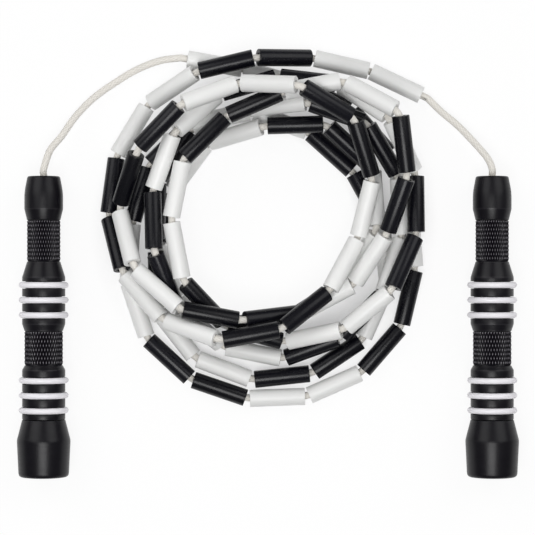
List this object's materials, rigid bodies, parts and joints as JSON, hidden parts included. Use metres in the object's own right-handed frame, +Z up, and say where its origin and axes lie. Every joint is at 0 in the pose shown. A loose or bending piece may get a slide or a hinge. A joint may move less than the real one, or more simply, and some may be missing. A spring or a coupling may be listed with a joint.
{
  "type": "beaded jump rope",
  "caption": "Beaded skipping rope lying in a loose coil, with turned metal handles whose ball-bearing swivels let each handle spin about the cord.",
  "frame": {"origin": "on the floor, at the bottom centre of the box round the two handles", "axes": "+X from the left handle to the right one, +Y along the handles towards their noses, +Z up"},
  "size_m": [0.2276, 0.1947, 0.0398],
  "materials": {
    "anodised_metal": "satin black anodised, knurled grips",
    "ring_rubber": "matte white silicone",
    "bearing_steel": "ground",
    "sleeve_brass": "turned",
    "cord": "braided cream cord",
    "white_bead": "satin white",
    "black_bead": "satin black"
  },
  "bodies": {
    "rope": {"beaded_coil": "white_bead", "left_lead": "cord", "left_cord_knot": "cord", "left_stop_washer": "bearing_steel", "left_swivel_sleeve": "sleeve_brass", "left_bearing_inner_race": "bearing_steel", "right_lead": "cord", "right_cord_knot": "cord", "right_stop_washer": "bearing_steel", "right_swivel_sleeve": "sleeve_brass", "right_bearing_inner_race": "bearing_steel"},
    "left_handle": {"left_nose_collar": "anodised_metal", "left_grip_barrel": "anodised_metal", "left_end_bell": "anodised_metal", "left_bearing_outer_race": "bearing_steel", "left_bearing_clip": "bearing_steel", "left_grip_ring_1": "ring_rubber", "left_grip_ring_2": "ring_rubber", "left_grip_ring_3": "ring_rubber", "left_grip_ring_4": "ring_rubber", "left_grip_ring_5": "ring_rubber", "left_grip_ring_6": "ring_rubber"},
    "left_balls": {"left_ball_cage": "bearing_steel"},
    "right_handle": {"right_nose_collar": "anodised_metal", "right_grip_barrel": "anodised_metal", "right_end_bell": "anodised_metal", "right_bearing_outer_race": "bearing_steel", "right_bearing_clip": "bearing_steel", "right_grip_ring_1": "ring_rubber", "right_grip_ring_2": "ring_rubber", "right_grip_ring_3": "ring_rubber", "right_grip_ring_4": "ring_rubber", "right_grip_ring_5": "ring_rubber", "right_grip_ring_6": "ring_rubber"},
    "right_balls": {"right_ball_cage": "bearing_steel"},
    "bead_1_body": {"bead_1": "white_bead"},
    "bead_2_body": {"bead_2": "white_bead"},
    "bead_3_body": {"bead_3": "black_bead"},
    "bead_4_body": {"bead_4": "black_bead"},
    "bead_5_body": {"bead_5": "white_bead"},
    "bead_6_body": {"bead_6": "white_bead"},
    "bead_7_body": {"bead_7": "black_bead"},
    "bead_8_body": {"bead_8": "black_bead"}
  },
  "joints": [
    {"name": "left_handle_spin", "type": "hinge", "parent": "rope", "child": "left_handle", "pos_m": [-0.1017, 0.0682, 0.01215], "axis": [0, 1, 0], "continuous": true},
    {"name": "left_balls_spin", "type": "hinge", "parent": "rope", "child": "left_balls", "pos_m": [-0.1017, 0.0682, 0.01215], "axis": [0, 1, 0], "continuous": true},
    {"name": "right_handle_spin", "type": "hinge", "parent": "rope", "child": "right_handle", "pos_m": [0.1017, 0.0682, 0.01215], "axis": [0, 1, 0], "continuous": true},
    {"name": "right_balls_spin", "type": "hinge", "parent": "rope", "child": "right_balls", "pos_m": [0.1017, 0.0682, 0.01215], "axis": [0, 1, 0], "continuous": true},
    {"name": "bead_1_spin", "type": "hinge", "parent": "rope", "child": "bead_1_body", "pos_m": [0.05858, 0.111, 0.00405], "axis": [-0.9038, 0.4279, 0], "continuous": true},
    {"name": "bead_2_spin", "type": "hinge", "parent": "rope", "child": "bead_2_body", "pos_m": [0.03373, 0.11958, 0.00405], "axis": [-0.9749, 0.2225, 0], "continuous": true},
    {"name": "bead_3_spin", "type": "hinge", "parent": "rope", "child": "bead_3_body", "pos_m": [0.00745, 0.12225, 0.00876], "axis": [-0.9423, -0.0208, 0.334], "continuous": true},
    {"name": "bead_4_spin", "type": "hinge", "parent": "rope", "child": "bead_4_body", "pos_m": [-0.01888, 0.1189, 0.01291], "axis": [-0.9727, -0.2283, -0.0422], "continuous": true},
    {"name": "bead_5_spin", "type": "hinge", "parent": "rope", "child": "bead_5_body", "pos_m": [-0.04344, 0.10853, 0.0082], "axis": [-0.8079, -0.5126, -0.2908], "continuous": true},
    {"name": "bead_6_spin", "type": "hinge", "parent": "rope", "child": "bead_6_body", "pos_m": [-0.06209, 0.08949, 0.00405], "axis": [-0.5196, -0.8544, 0], "continuous": true},
    {"name": "bead_7_spin", "type": "hinge", "parent": "rope", "child": "bead_7_body", "pos_m": [-0.07104, 0.06422, 0.0043], "axis": [-0.1333, -0.9909, 0.0181], "continuous": true},
    {"name": "bead_8_spin", "type": "hinge", "parent": "rope", "child": "bead_8_body", "pos_m": [-0.06925, 0.03747, 0.00937], "axis": [0.2492, -0.9097, 0.3321], "continuous": true}
  ],
  "couplings": [
    {"joint": "left_balls_spin", "follows": "left_handle_spin", "ratio": 0.58333},
    {"joint": "right_balls_spin", "follows": "right_handle_spin", "ratio": 0.58333}
  ]
}
